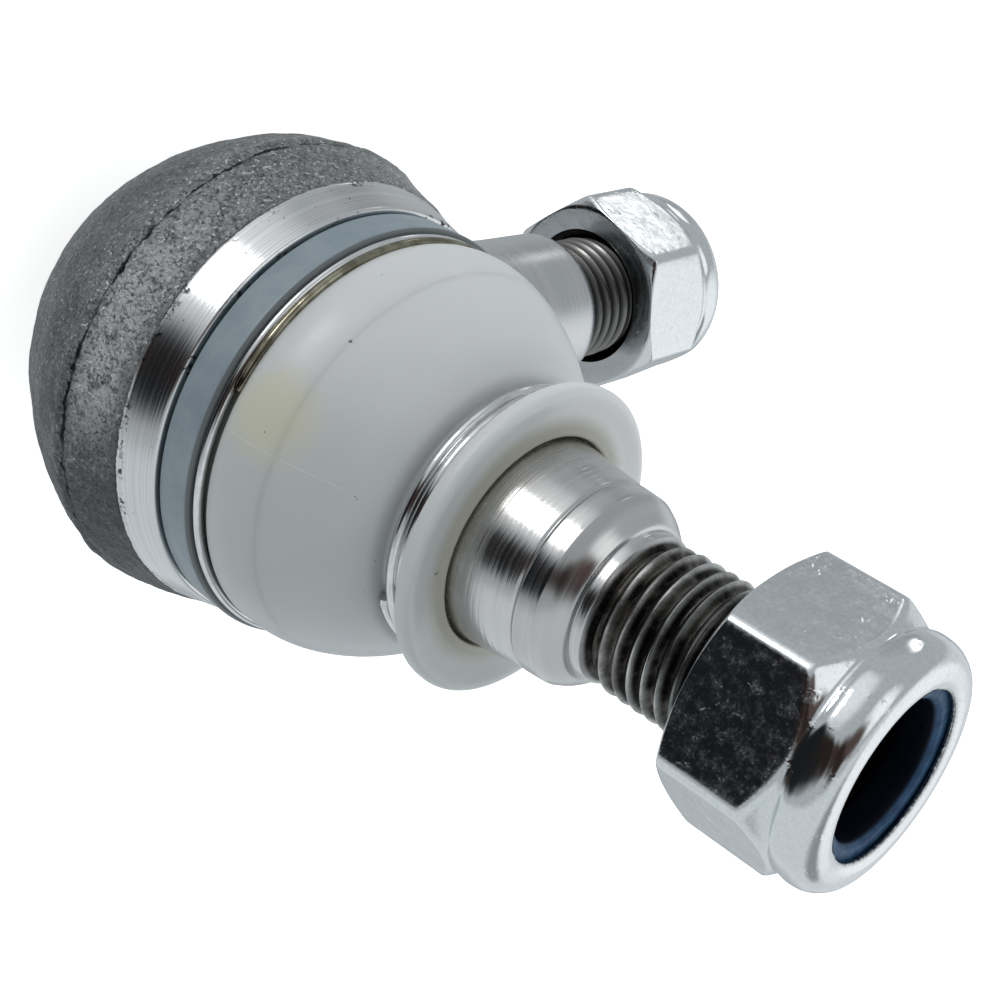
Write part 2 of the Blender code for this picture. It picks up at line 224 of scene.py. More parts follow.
class Graph:
    """Builds one material's node tree round a Principled shader. Texture space is millimetres."""

    def __init__(self, name, **sockets):
        self.material = bpy.data.materials.new(name)
        self.material.use_nodes = True
        self.tree = self.material.node_tree
        self.tree.nodes.clear()
        self.shader = self.node("ShaderNodeBsdfPrincipled")
        output = self.node("ShaderNodeOutputMaterial")
        self.tree.links.new(self.shader.outputs[0], output.inputs[0])
        for key, value in sockets.items():
            self.set(key.replace("_", " ").title().replace("Ior", "IOR"), value)
        where = self.node("ShaderNodeTexCoord").outputs["Object"]
        scaled = self.node("ShaderNodeVectorMath", {0: where, 3: 1 / MM}, operation="SCALE")
        self.point = scaled.outputs[0]
        split = self.node("ShaderNodeSeparateXYZ", {0: self.point})
        self.x, self.y, self.z = split.outputs
        self.r = self.math("SQRT", self.math("ADD", self.math("MULTIPLY", self.x, self.x),
                                             self.math("MULTIPLY", self.y, self.y)))

    def node(self, kind, inputs=None, **settings):
        made = self.tree.nodes.new(kind)
        for key, value in settings.items():
            setattr(made, key, value)
        for key, value in (inputs or {}).items():
            self.put(made.inputs[key], value)
        return made

    def put(self, socket, value):
        """Links another node's socket, or sets a plain value."""
        if isinstance(value, bpy.types.NodeSocket):
            self.tree.links.new(value, socket)
        else:
            socket.default_value = value

    def set(self, name, value):
        """Sets or links one of the shader's sockets."""
        socket = self.shader.inputs[name]
        if isinstance(value, tuple) and socket.type == "RGBA":
            value = (*value, 1.0)
        self.put(socket, value)

    def math(self, operation, a, b=0.0, c=0.0):
        return self.node("ShaderNodeMath", {0: a, 1: b, 2: c}, operation=operation).outputs[0]

    def rings(self, around, along):
        """Texture space that is drawn out round the axis, for marks left by turning."""
        run = self.math("MULTIPLY", self.math("MULTIPLY_ADD", self.r, 0.6, self.z), along)
        size = self.math("MAXIMUM", self.r, 0.5)
        cos = self.math("MULTIPLY", self.math("DIVIDE", self.x, size), around)
        sin = self.math("MULTIPLY", self.math("DIVIDE", self.y, size), around)
        return self.node("ShaderNodeCombineXYZ", {0: cos, 1: sin, 2: run}).outputs[0]

    def far_from(self, place):
        made = self.node("ShaderNodeVectorMath", {0: self.point, 1: place}, operation="DISTANCE")
        return made.outputs["Value"]

    def noise(self, where, scale, detail=3.0, rough=0.5):
        return self.node("ShaderNodeTexNoise", {
            "Vector": where, "Scale": scale, "Detail": detail, "Roughness": rough,
        }).outputs[0]

    def span(self, value, low, high, to_low=0.0, to_high=1.0):
        """The value's place between low and high, eased and clamped, from to_low to to_high."""
        return self.node("ShaderNodeMapRange", {
            0: value, 1: low, 2: high, 3: to_low, 4: to_high,
        }, interpolation_type="SMOOTHSTEP").outputs[0]

    def band(self, value, low, high, soft):
        """1 between low and high, 0 outside, with soft edges."""
        rise = self.span(value, low - soft, low + soft)
        fall = self.span(value, high - soft, high + soft, 1.0, 0.0)
        return self.math("MULTIPLY", rise, fall)

    def mix(self, factor, a, b):
        made = self.node("ShaderNodeMix", data_type="RGBA")
        self.put(made.inputs[0], factor)
        for index, value in ((6, a), (7, b)):
            if isinstance(value, tuple):
                value = (*value, 1.0)
            self.put(made.inputs[index], value)
        return made.outputs[2]

    def blend(self, factor, a, b):
        """A number between a and b."""
        made = self.node("ShaderNodeMix", data_type="FLOAT")
        for index, value in ((0, factor), (2, a), (3, b)):
            self.put(made.inputs[index], value)
        return made.outputs[0]

    def bump(self, *layers):
        """Each layer is (height socket, depth in millimetres)."""
        normal = None
        for height, depth in layers:
            inputs = {"Strength": 1.0, "Distance": depth * MM, "Height": height}
            if normal is not None:
                inputs["Normal"] = normal
            normal = self.node("ShaderNodeBump", inputs).outputs[0]
        self.put(self.shader.inputs["Normal"], normal)


def forged_and_turned():
    """Rough forged steel with a dark parting line and painted light on its +Y side, bright and
    pitted above where it was turned.
    """
    g = Graph("housing_forged_and_turned", metallic=1.0)
    turned_from = BAND_START_Z + 0.1
    ragged = g.noise(g.point, 1.3, 4.0, 0.6)
    edge = g.math("MULTIPLY_ADD", ragged, 0.3, g.math("SUBTRACT", g.z, 0.15))
    bright = g.span(edge, turned_from - 0.07, turned_from + 0.07)

    grains = g.noise(g.point, 1.15, 3.0, 0.6)
    mottle = g.noise(g.point, 0.75, 5.0, 0.7)
    fine = g.noise(g.point, 3.0, 6.0, 0.72)
    broad = g.noise(g.point, 0.16, 3.0, 0.5)
    spark = g.span(g.noise(g.point, 2.7, 3.0, 0.6), 0.54, 0.68)
    # Painted light and shade: this mask makes the forging skin lighter, smoother and more sparkly
    # towards +Y, darker towards -Y, and darker below the parting plane.
    worn = g.span(g.math("MULTIPLY_ADD", g.y, 0.028, broad), 0.10, 1.05)
    worn = g.math("MULTIPLY", worn, g.span(g.z, 21.0, 25.5, 0.45, 1.0))
    # Painted highlight: a lighter, smoother band just above the parting line on the +Y side, patchy
    # with the mottle; it also joins the mask above.
    painted_highlight_band = g.math("MULTIPLY", g.band(g.z, 26.6, 31.0, 1.4), g.band(g.y, 2.0, 19.5, 5.5))
    painted_highlight_band = g.math("MULTIPLY", painted_highlight_band, g.span(mottle, 0.28, 0.5))
    scale_colour = g.mix(worn, (0.11, 0.115, 0.12), (0.31, 0.32, 0.325))
    scale_colour = g.mix(painted_highlight_band, scale_colour, (0.60, 0.61, 0.615))
    worn = g.math("MAXIMUM", worn, painted_highlight_band)
    dimmed = g.mix(0.4, scale_colour, (0.05, 0.053, 0.056))
    scale_colour = g.mix(g.span(mottle, 0.34, 0.62), dimmed, scale_colour)
    scale_colour = g.mix(g.span(fine, 0.34, 0.54), (0.06, 0.063, 0.067), scale_colour)
    scale_colour = g.mix(g.math("MULTIPLY", spark, worn), scale_colour, (0.66, 0.67, 0.67))

    width = g.span(g.noise(g.point, 0.35, 4.0, 0.7), 0.38, 0.66, 0.0, 0.26)
    wander = g.math("MULTIPLY", g.noise(g.point, 0.9, 4.0), 1.1)
    away = g.math("ABSOLUTE", g.math("ADD", wander, g.math("SUBTRACT", g.z, BALL_Z + 0.8)))
    line = g.span(g.math("SUBTRACT", away, width), -0.05, 0.16, 1.0, 0.0)
    scale_colour = g.mix(line, scale_colour, (0.012, 0.012, 0.013))

    marks = g.noise(g.rings(0.35, 5.0), 1.0, 1.5, 0.6)
    burr = g.span(g.noise(g.point, 0.23, 2.0, 0.5), 0.50, 0.62)
    rim = g.math("MAXIMUM", g.band(g.z, turned_from, turned_from + 0.7, 0.2),
                 g.band(g.z, turned_from + 4.0, turned_from + 4.4, 0.1))
    chips = g.span(g.noise(g.point, 1.9, 4.0, 0.7), 0.50, 0.58)
    pits = g.math("MULTIPLY", g.math("MULTIPLY", rim, burr), chips)
    pits = g.math("MAXIMUM", pits, g.span(g.noise(g.point, 1.5, 2.0, 0.5), 0.73, 0.76))
    steel = g.mix(g.span(marks, 0.3, 0.7), (0.56, 0.57, 0.58), (0.66, 0.67, 0.68))
    steel = g.mix(pits, steel, (0.05, 0.05, 0.055))
    g.set("Base Color", g.mix(bright, scale_colour, steel))
    g.set("Roughness", g.blend(bright, g.blend(spark, g.blend(worn, 0.50, 0.30), 0.18),
                               g.span(marks, 0.3, 0.7, 0.13, 0.20)))
    rough = g.math("SUBTRACT", 1.0, bright)
    g.bump((g.math("MULTIPLY", fine, rough), 0.26), (g.math("MULTIPLY", grains, rough), 0.45),
           (g.math("MULTIPLY", marks, bright), 0.007))
    return g.material


def turned_steel():
    """Turned steel of the stud, with dark oil in its thread, painted shade in the thread's roots
    and a stain next to the boot's lip.
    """
    g = Graph("stud_turned_steel", metallic=1.0)
    marks = g.noise(g.rings(0.22, 3.8), 1.0, 1.5, 0.6)
    coarse = g.noise(g.rings(0.4, 0.9), 1.0, 2.0, 0.5)
    smear = g.noise(g.point, 0.5, 4.0, 0.6)
    threaded = g.span(g.z, 74.5, 74.9)
    # Painted shade with oil: the thread's roots are darkened nearly to black in streaks.
    root = g.math("MULTIPLY", threaded, g.span(g.r, 6.45, 6.97, 1.0, 0.0))
    specks = g.span(g.noise(g.rings(1.3, 3.4), 1.0, 5.0, 0.7), 0.44, 0.70)

    steel = g.mix(g.span(coarse, 0.3, 0.7), (0.50, 0.50, 0.50), (0.60, 0.60, 0.60))
    streak = g.span(g.noise(g.rings(1.6, 2.6), 1.0, 5.0, 0.7), 0.36, 0.62)
    steel = g.mix(threaded, steel, g.mix(streak, (0.20, 0.195, 0.185), (0.52, 0.52, 0.51)))
    grime_and_shade = g.mix(specks, (0.014, 0.013, 0.012), (0.22, 0.21, 0.195))
    steel = g.mix(root, steel, grime_and_shade)
    stain = g.math("MULTIPLY", g.span(g.z, 62.2, 66.0, 1.0, 0.0), g.span(smear, 0.3, 0.6, 0.3, 0.8))
    steel = g.mix(stain, steel, (0.40, 0.385, 0.34))
    tip = g.math("MULTIPLY", g.span(g.z, 93.0, 93.3), g.span(g.r, 6.2, 6.4, 1.0, 0.0))
    g.set("Base Color", g.mix(tip, steel, (0.02, 0.02, 0.02)))
    clean = g.span(marks, 0.3, 0.7, 0.13, 0.24)
    g.set("Roughness", g.blend(root, g.blend(stain, clean, 0.32), 0.5))
    g.bump((marks, 0.022), (smear, 0.006), (g.math("MULTIPLY", root, specks), 0.03))
    return g.material


def shank_steel():
    """The shank: forged skin at its root, then finely turned, with an oiled thread whose roots are
    darkened with painted shade.
    """
    g = Graph("shank_steel", metallic=1.0)
    ragged = g.noise(g.point, 0.9, 4.0, 0.6)
    forged = g.span(g.math("MULTIPLY_ADD", ragged, 2.4, g.z), 27.6, 28.6, 1.0, 0.0)
    marks = g.noise(g.rings(0.3, 3.4), 1.0, 2.0, 0.6)
    fine = g.noise(g.point, 2.4, 5.0, 0.65)
    threaded = g.span(g.z, 41.2, 41.8)
    root = g.math("MULTIPLY", threaded, g.span(g.r, 6.35, 6.9, 1.0, 0.0))
    steel = g.mix(g.span(marks, 0.3, 0.7), (0.50, 0.51, 0.52), (0.55, 0.56, 0.57))
    steel = g.mix(threaded, steel, (0.20, 0.195, 0.19))
    # Painted shade with oil: the thread's roots are darkened.
    steel = g.mix(root, steel, (0.05, 0.05, 0.05))
    skin = g.mix(g.span(fine, 0.3, 0.7), (0.11, 0.115, 0.12), (0.30, 0.31, 0.32))
    g.set("Base Color", g.mix(forged, steel, skin))
    clean = g.span(marks, 0.3, 0.7, 0.22, 0.32)
    g.set("Roughness", g.blend(forged, g.blend(root, clean, 0.5), 0.5))
    g.bump((marks, 0.003), (g.math("MULTIPLY", forged, fine), 0.15))
    return g.material


def ring_coating():
    """Blue-grey coat of the closing ring, darker on its top edge, with faint hoop scratches."""
    g = Graph("ring_blue_grey_coat")
    cloud = g.noise(g.point, 0.35, 4.0, 0.55)
    hoops = g.noise(g.rings(0.8, 4.5), 1.0, 3.0, 0.6)
    scratch = g.span(g.noise(g.rings(1.6, 6.0), 1.0, 1.0), 0.66, 0.74)
    coat = g.mix(g.span(cloud, 0.3, 0.7), (0.225, 0.287, 0.325), (0.270, 0.335, 0.370))
    coat = g.mix(g.math("MULTIPLY", scratch, 0.5), coat, (0.38, 0.42, 0.45))
    rim = g.span(g.z, 40.3, 40.45)
    g.set("Base Color", g.mix(rim, coat, (0.13, 0.145, 0.15)))
    g.set("Roughness", g.span(hoops, 0.3, 0.7, 0.34, 0.48))
    g.bump((hoops, 0.006), (cloud, 0.02))
    return g.material


def boot_rubber():
    """Milky translucent elastomer: soft clouding, a faint yellow patch, specks and a mould line,
    with painted light on its +X+Y side and on the lip.
    """
    g = Graph("boot_milky_elastomer", subsurface_weight=0.35, subsurface_scale=0.004,
              specular_ior_level=0.5, coat_weight=0.14, coat_roughness=0.18, ior=1.46)
    g.set("Subsurface Radius", (1.0, 1.0, 0.95))
    cloud = g.noise(g.point, 0.11, 3.0, 0.5)
    # Painted light and shade: the boot is lighter towards +X+Y and darker towards -X-Y, with soft
    # clouding mixed in.
    side = g.math("MULTIPLY_ADD", cloud, 14.0, g.math("ADD", g.x, g.y))
    body = g.mix(g.span(side, -22.0, 34.0), (0.53, 0.555, 0.56), (0.74, 0.76, 0.76))
    body = g.mix(g.span(g.z, 38.2, 40.6, 0.6, 0.0), body, (0.44, 0.46, 0.40))
    throat = g.math("MULTIPLY", g.span(g.z, 57.6, 58.4), g.span(g.r, 10.9, 12.9, 0.9, 0.0))
    # Painted light: the lip is lighter on its +X side.
    lip = g.math("MULTIPLY", g.span(g.z, 56.2, 57.4), g.span(g.x, -3.0, 13.0))
    body = g.mix(lip, body, (0.88, 0.90, 0.90))
    body = g.mix(throat, body, (0.42, 0.41, 0.34))
    patch = g.far_from((-17.9, 10.0, 43.7))
    ragged = g.math("MULTIPLY_ADD", g.noise(g.point, 0.35, 3.0, 0.6), 3.4, patch)
    body = g.mix(g.span(ragged, 3.6, 7.2, 0.7, 0.0), body, (0.66, 0.65, 0.49))
    seam = g.math("ABSOLUTE", g.math("MULTIPLY_ADD", g.x, 0.342, g.math("MULTIPLY", g.y, 0.940)))
    seam = g.math("MULTIPLY", g.span(seam, 0.03, 0.11, 1.0, 0.0), g.band(g.z, 39.5, 51.0, 0.8))
    seam = g.math("MULTIPLY", seam, g.span(g.noise(g.point, 0.8, 3.0), 0.30, 0.48))
    body = g.mix(g.math("MULTIPLY", seam, 0.6), body, (0.70, 0.71, 0.70))
    speck = g.span(g.noise(g.point, 0.9, 2.0, 0.5), 0.765, 0.785)
    body = g.mix(speck, body, (0.16, 0.16, 0.15))
    g.set("Base Color", body)
    g.set("Roughness", g.span(g.noise(g.point, 0.5, 3.0), 0.3, 0.7, 0.34, 0.42))
    skin = g.noise(g.point, 1.6, 4.0, 0.5)
    g.bump((skin, 0.012), (cloud, 0.12), (seam, 0.02))
    return g.material


def bright_wire(name, brown_upper_turn):
    """Drawn spring wire; the second argument is 1 where the upper turn is coloured brown on the +Y
    side.
    """
    g = Graph(name, metallic=1.0)
    drawn = g.noise(g.rings(8.0, 5.0), 1.0, 3.0, 0.6)
    clean = g.mix(g.span(drawn, 0.35, 0.75), (0.70, 0.71, 0.72), (0.56, 0.56, 0.56))
    patchy = g.span(g.noise(g.point, 0.7, 3.0), 0.35, 0.65)
    brown = g.mix(patchy, (0.30, 0.29, 0.22), (0.16, 0.15, 0.11))
    second = g.math("MULTIPLY", g.span(g.z, 41.3, 41.42), g.span(g.y, 9.2, 9.8))
    g.set("Base Color", g.mix(g.math("MULTIPLY", second, brown_upper_turn), clean, brown))
    g.set("Roughness", g.span(drawn, 0.3, 0.7, 0.07, 0.16))
    g.bump((drawn, 0.003))
    return g.material


def nut_zinc():
    """Bright zinc plate: wavy, frosted and pinpricked on the flats, polished on the collar, with
    painted shade on the bearing face and at the mouth.
    """
    g = Graph("nut_bright_zinc", metallic=1.0)
    wave = g.noise(g.point, 0.30, 2.0, 0.5)
    frost = g.noise(g.point, 3.0, 5.0, 0.7)
    haze = g.span(g.noise(g.point, 0.9, 5.0, 0.72), 0.36, 0.66)
    flat = g.span(g.z, 9.4, 10.4, 1.0, 0.0)
    pin = g.math("MULTIPLY", flat, g.span(g.noise(g.point, 2.6, 6.0, 0.75), 0.56, 0.76, 0.0, 0.7))
    zinc = g.mix(g.span(frost, 0.3, 0.7), (0.62, 0.65, 0.67), (0.70, 0.72, 0.735))
    zinc = g.mix(pin, zinc, (0.34, 0.37, 0.41))
    # Painted shade: the bearing face is darkened.
    zinc = g.mix(g.span(g.z, 0.02, 0.2, 0.55, 0.0), zinc, (0.18, 0.19, 0.20))
    # Painted shade with grime: the collar's inner edge is darkened in patches where it meets the
    # nylon insert.
    mouth = g.math("MULTIPLY", g.span(g.z, 12.9, 13.2), g.span(g.r, 7.55, 8.05, 1.0, 0.0))
    grime_and_shade = g.math("MULTIPLY", mouth, g.span(frost, 0.36, 0.56))
    g.set("Base Color", g.mix(grime_and_shade, zinc, (0.05, 0.04, 0.035)))
    worn = g.blend(haze, 0.05, g.span(frost, 0.25, 0.75, 0.15, 0.31))
    g.set("Roughness", g.blend(pin, g.blend(flat, 0.10, worn), 0.36))
    dents = g.span(g.noise(g.point, 0.55, 3.0, 0.6), 0.60, 0.72)
    g.bump((wave, 0.05), (g.math("MULTIPLY", frost, flat), 0.007), (pin, 0.006), (dents, 0.02))
    return g.material


def nut_bore():
    """Bore darkened nearly to black as painted shade, with the female thread as bump."""
    g = Graph("nut_bore_painted_shade", metallic=1.0)
    bore_shade_noise = g.noise(g.point, 1.2, 3.0)
    # Painted shade: the bore is near black.
    g.set("Base Color", g.mix(g.span(bore_shade_noise, 0.3, 0.7), (0.006, 0.006, 0.007), (0.02, 0.02, 0.02)))
    g.set("Roughness", g.span(bore_shade_noise, 0.3, 0.7, 0.35, 0.55))
    helix = g.math("SINE", g.math("MULTIPLY_ADD", g.math("ARCTAN2", g.y, g.x), -1.0,
                                  g.math("MULTIPLY", g.z, TAU / PITCH)))
    g.bump((helix, 0.25))
    return g.material


def nylon():
    """Blue nylon, with painted shade where its hole goes down into the nut."""
    g = Graph("insert_blue_nylon", specular_ior_level=0.18, ior=1.5)
    cloud = g.noise(g.point, 0.8, 3.0)
    face = g.mix(g.span(cloud, 0.3, 0.7), (0.020, 0.062, 0.135), (0.042, 0.112, 0.215))
    # Painted shade: near black inside the hole.
    g.set("Base Color", g.mix(g.span(g.r, 6.36, 6.56), (0.0015, 0.003, 0.010), face))
    g.set("Roughness", g.span(g.noise(g.point, 2.5, 3.0), 0.3, 0.7, 0.42, 0.55))
    g.bump((g.noise(g.rings(2.0, 5.0), 1.0, 2.0), 0.008))
    return g.material


def seat_plastic():
    g = Graph("seat_acetal", subsurface_weight=0.1, subsurface_scale=0.001)
    cloud = g.noise(g.point, 0.5, 3.0)
    g.set("Base Color", g.mix(g.span(cloud, 0.3, 0.7), (0.70, 0.68, 0.60), (0.78, 0.76, 0.70)))
    g.set("Roughness", g.span(cloud, 0.2, 0.8, 0.32, 0.45))
    g.bump((g.noise(g.rings(0.8, 3.0), 1.0, 2.0), 0.01))
    return g.material


def spring_steel():
    g = Graph("disc_spring_steel", metallic=1.0)
    marks = g.noise(g.rings(0.8, 3.0), 1.0, 3.0)
    g.set("Base Color", g.mix(g.span(marks, 0.3, 0.7), (0.12, 0.12, 0.13), (0.24, 0.24, 0.25)))
    g.set("Roughness", g.span(marks, 0.3, 0.7, 0.28, 0.42))
    g.bump((marks, 0.01))
    return g.material


# ---------------------------------------------------------------- housing

DOME_DEPTH = 26.2                 # the dome as drawn is cut off by the flat before its pole
DOME_POWER = 1.616
NECKING = 1.7                     # how much the radius falls from the parting plane to the band


def forging_relief(r, a, z):
    """Hammered forging skin below the turned band, with a seam at the parting plane."""
    flat = z <= FLAT_Z + 0.01
    inside = r < 17.0 and z > 5.0 and r < dome_radius(z) - 0.5
    if z > BAND_START_Z or flat or inside:
        return r, z
    keep = smoothstep(BAND_START_Z, BAND_START_Z - 0.8, z) * smoothstep(FLAT_Z, FLAT_Z + 1.0, z)
    p = Vector((r * math.cos(a), r * math.sin(a), z))
    lumps = noise.noise(p * 0.22) * 0.2 + noise.noise(p * 0.6) * 0.11 + noise.noise(p * 1.6) * 0.05
    wander = z - BALL_Z - 0.25 * noise.noise(p * 0.25)
    seam = math.exp(-(wander / 0.28) ** 2) * (0.16 + 0.14 * noise.noise(p * 0.6))
    lip = math.exp(-((wander + 0.9) / 0.5) ** 2) * 0.12
    return r + (lumps - seam + lip) * keep, z


def dome_radius(z):
    """The forging's outside: a rounded dome below the parting plane, a slight cone above it."""
    h = BALL_Z - z
    if h < 0:
        return HOUSING_R - NECKING * (z - BALL_Z) / 6.2
    return HOUSING_R * (1 - (h / DOME_DEPTH) ** DOME_POWER) ** (1 / DOME_POWER)


def housing_body(material):
    bm = bmesh.new()
    rows = [FLAT_Z + 0.05 + (BALL_Z - FLAT_Z) * (i / 64) ** 1.25 for i in range(1, 64)]
    flat_r = dome_radius(FLAT_Z)
    outside = [(0, FLAT_Z), (flat_r - 0.2, FLAT_Z), (flat_r + 0.1, FLAT_Z + 0.12)]
    outside += [(dome_radius(z), z) for z in rows if z > FLAT_Z + 0.4]
    outside += [(dome_radius(BALL_Z + 0.2 * i), BALL_Z + 0.2 * i) for i in range(0, 31)]
    outside += rounded([
        (22.62, BAND_START_Z, 0), (22.45, 32.25, 0.12), (21.55, 36.15, 0.1), (21.35, 36.3, 0.08),
        (20.4, 36.32, 0.25), (20.05, 36.0, 0)])
    inside = [(20.0, 33.8), (17.3, 33.8), (17.3, 15.2), (15.6, 13.2), (8.5, 7.6), (0, 7.6)]
    turned(bm, resampled(outside, 1.2) + inside, 320, shape=forging_relief)
    piece("housing_body", bm, STUD_AXIS, "housing", material, ["housing_forging"])


def shank_flare(r, a, z):
    """Forged fillet at the shank's root, on the side away from the turned band."""
    lower = smoothstep(0.15, -0.45, -math.cos(a))
    t = min(max((25.8 - z) / 4.6, 0.0), 1.0)
    p = Vector((r * math.cos(a), r * math.sin(a), z))
    skin = noise.noise(p * 0.5) * 0.10 + noise.noise(p * 1.4) * 0.04
    return r + 3.4 * lower * t ** 2.2 + smoothstep(28.5, 26.0, z) * skin, z


def housing_shank(material):
    bm = bmesh.new()
    segments = 144
    start, end = SHANK_THREAD
    root = flowing([(10.2, 17.5), (10.15, 20.0), (10.0, 22.6), (9.6, 26.0), (9.2, 29.5),
                    (9.0, 31.5)])
    root += rounded([
        (8.9, 33.0, 0), (8.62, 39.6, 0.6), (8.3, 40.6, 0.7), (7.5, 41.2, 0.5), (6.8, 41.4, 0.2),
        (ROOT_R, start, 0)])
    turned(bm, [(0, 17.5)] + resampled(root, 0.5), segments, shape=shank_flare)
    thread(bm, start, end, segments)
    turned(bm, [(ROOT_R, end), (5.58, end + 0.5), (0, end + 0.5)], segments)
    piece("housing_shank", bm, SHANK_AXIS, "housing", material,
          ["housing_forging"])


def closing_ring(material):
    bm = bmesh.new()
    profile = rounded([
        (13.1, 34.1, 0), (19.7, 34.1, 0.1), (19.7, 36.6, 0.05), (21.1, 36.6, 0.2),
        (21.2, 40.3, 0.12), (20.95, 40.65, 0.1), (20.2, 40.6, 0.1), (19.0, 40.2, 0.2),
        (17.9, 39.6, 0.3), (17.7, 42.0, 0.3), (17.0, 42.4, 0.3), (16.0, 41.8, 0.3)])
    turned(bm, profile, 240, closed=True)
    piece("closing_ring_detail", bm, STUD_AXIS, "housing", material,
          ["closing_ring"])


# ---------------------------------------------------------------- boot and clamps

BOOT_SPLIT_Z = 48.3               # the boot's two pieces meet here
DRAWN_IN_DEG = 254                # the side on which the wall is drawn in
DRAWN_IN_BY = 0.8


def boot_dent(r, a, z):
    """The moulding isn't quite round, and its free wall is drawn in on one side."""
    p = Vector((r * math.cos(a), r * math.sin(a), z))
    free = smoothstep(41.5, 44.0, z) * smoothstep(57.0, 54.5, z)
    sag = max(0.0, math.cos(a - math.radians(DRAWN_IN_DEG))) ** 2 * smoothstep(12.0, 16.0, r)
    return r + free * (0.10 * noise.noise(p * 0.07) - DRAWN_IN_BY * sag), z


def boot_surface():
    bm = bmesh.new()
    dome = flowing([
        (19.2, 41.75), (20.0, 42.0), (20.55, 42.8), (20.8, 44.6), (20.4, 47.0), (19.4, 49.6),
        (17.9, 52.2), (16.0, 54.6), (13.95, 56.35)])
    outside = [(18.1, 40.3), (19.2, 40.35)] + dome
    outside += rounded([
        (13.4, 56.5, 0), (12.3, 56.6, 0.3), (12.2, 60.2, 0.4), (13.9, 60.3, 0.5),
        (15.1, 60.8, 0.5), (15.15, 62.1, 0.45), (14.5, 62.45, 0.5), (12.6, 61.9, 0.6),
        (11.3, 61.95, 0.3), (10.65, 62.3, 0.15), (10.4, 62.2, 0.1), (10.45, 60.0, 0.3),
        (11.05, 58.0, 0)])
    inside = flowing([
        (11.6, 55.4), (13.2, 54.9), (15.0, 53.4), (16.7, 51.3), (18.1, 48.9), (19.0, 46.6),
        (19.4, 44.6), (19.2, 43.2), (18.1, 42.0)])
    turned(bm, resampled(outside, 0.6) + inside, 240, closed=True, shape=boot_dent)
    bmesh.ops.recalc_face_normals(bm, faces=bm.faces)
    return bm


def rounded_place(vert):
    return tuple(round(c, 7) for c in vert.co)


def boot_half(name, keep_upper, material):
    """Half of the boot, with the whole boot's normals so that the halves meet without a crease."""
    bm = boot_surface()
    split = BOOT_SPLIT_Z * MM
    bmesh.ops.bisect_plane(bm, geom=bm.verts[:] + bm.edges[:] + bm.faces[:], dist=1e-7,
                           plane_co=(0, 0, split), plane_no=(0, 0, 1))
    bm.normal_update()
    normals = {rounded_place(v): v.normal.copy() for v in bm.verts}
    away = [f for f in bm.faces if (f.calc_center_median().z > split) != keep_upper]
    bmesh.ops.delete(bm, geom=away, context="FACES")
    mesh = smooth_mesh(name, bm, material)
    mesh.normals_split_custom_set_from_vertices([normals[rounded_place(v)] for v in mesh.vertices])
    obj = placed(name, mesh, STUD_AXIS)
    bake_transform(obj)
    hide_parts("dust_boot")


def wire_clamp(name, body, node, coil_r, wire_r, z0, turns, pitch, start_deg, material):
    """Coil of round wire from height z0 up, a little thinner at its cut ends."""
    bm = bmesh.new()
    sides, steps = 16, int(200 * turns)
    rings = []
    for i in range(steps + 1):
        t = i / steps
        a = TAU * turns * t + math.radians(start_deg)
        out = Vector((math.cos(a), math.sin(a), 0))
        end = min(t, 1 - t) * TAU * turns * coil_r
        size = wire_r * (0.75 + 0.25 * smoothstep(0.0, 0.35, end))
        verts = []
        for j in range(sides):
            b = TAU * j / sides
            lift = Vector((0, 0, z0 + pitch * turns * t + size * math.sin(b)))
            verts.append(bm.verts.new((out * (coil_r + size * math.cos(b)) + lift) * MM))
        rings.append(verts)
    for first, second in zip(rings, rings[1:]):
        bridge(bm, first, second)
    bm.faces.new(rings[0])
    bm.faces.new(rings[-1])
    piece(name, bm, STUD_AXIS, body, material, [node])


# ---------------------------------------------------------------- stud and nuts

def ball_stud(material):
    bm = bmesh.new()
    segments = 168
    thread_start, thread_end = STUD_THREAD
    low, high, steps = -62.46, 62.18, 48      # degrees of latitude where flat and neck cut the ball
    ball = []
    for i in range(steps + 1):
        a = math.radians(low + (high - low) * i / steps)
        ball.append((BALL_R * math.cos(a), BALL_Z + BALL_R * math.sin(a)))
    neck = flowing([(7.0, 39.17), (6.95, 42.0), (7.0, 45.9), (7.6, 48.9), (9.4, 52.9),
                    (10.5, 55.4), (10.75, 56.4)])
    cone = rounded([(10.73, 56.6, 0), (9.38, 68.6, 0.12), (9.24, 68.85, 0.1), (9.38, 69.1, 0.12),
                    (9.25, 71.1, 0.06), (8.75, 72.1, 0.5), (7.6, 73.45, 0.3), (7.15, 73.6, 0.1),
                    (7.1, 74.55, 0.12), (ROOT_R, thread_start, 0)])
    turned(bm, [(0, 12.6)] + ball + neck + resampled(cone, 0.8), segments)
    thread(bm, thread_start, thread_end, segments)
    turned(bm, [(ROOT_R, thread_end), (5.38, thread_end + 0.7), (0, thread_end + 0.7)], segments)
    piece("ball_stud_detail", bm, STUD_AXIS, "stud", material, ["ball_stud"])


def soft_min(a, b, soft):
    """The smaller of two lengths, with the switch from one to the other rounded off."""
    h = max(soft - abs(a - b), 0.0) / soft
    return min(a, b) - h * h * soft / 4


NUT_FACE_R = 9.6                  # inside this radius a nut is round
HEX_CRISPNESS = 46                # a higher power gives the hexagon sharper corners


def nut_shape(flats):
    """Cuts a round blank down to a hexagon."""
    def shape(r, a, z):
        if r < NUT_FACE_R:
            return r, z
        total = sum(max(0.0, math.cos(a - math.pi / 3 * j)) ** HEX_CRISPNESS for j in range(6))
        hexagon = flats / 2 / total ** (1 / HEX_CRISPNESS)
        return soft_min(r, hexagon, 0.35), z
    return shape


